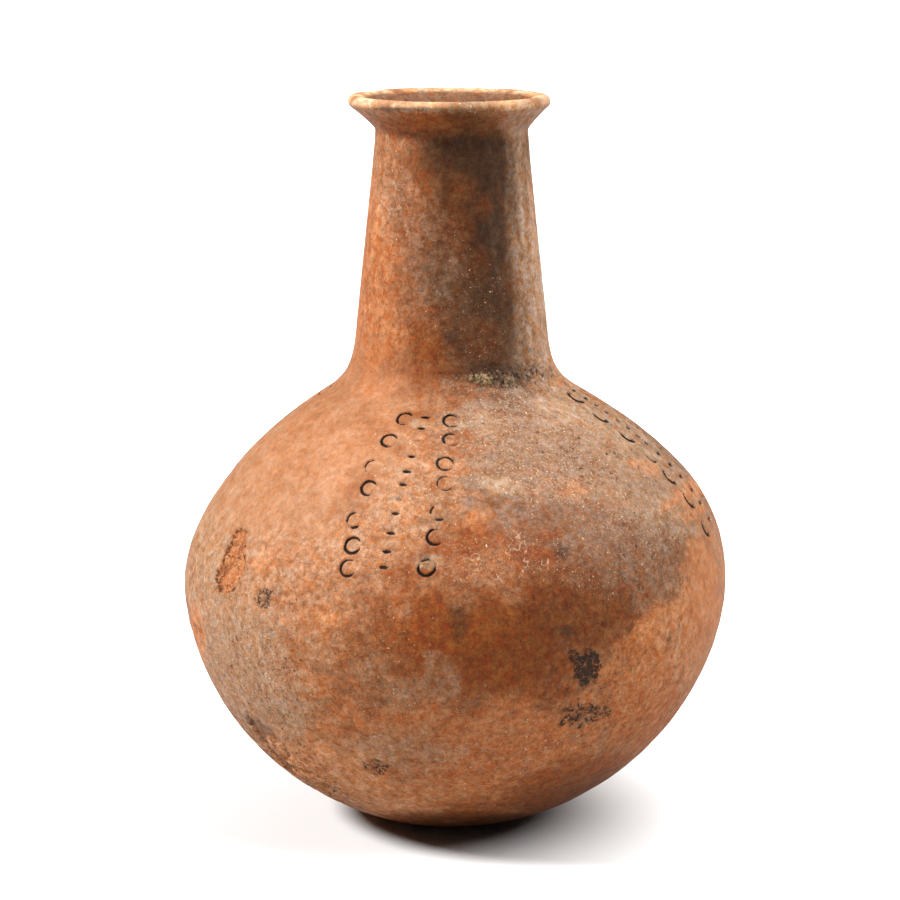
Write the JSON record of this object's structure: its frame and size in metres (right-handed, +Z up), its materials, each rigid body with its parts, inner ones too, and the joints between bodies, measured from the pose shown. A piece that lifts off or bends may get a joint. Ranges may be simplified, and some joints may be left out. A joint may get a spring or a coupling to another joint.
{
  "type": "bulbous vase",
  "caption": "Hand-built earthenware bottle vase with a globular belly, tall tapering neck, flared lip and reed-stamped panels round the shoulder.",
  "frame": {"origin": "middle of the small flat under the round base, on the belly's axis, level with the surface the vase stands on", "axes": "+Z up the axis, from the underside to the mouth; -Y towards the viewer of the picture, with one stamped panel a little to the left of it; +X to that viewer's right"},
  "size_m": [0.16, 0.16, 0.2134],
  "materials": {
    "earthenware": "burnished, worn"
  },
  "bodies": {
    "root": {"vase": "earthenware"}
  },
  "joints": []
}
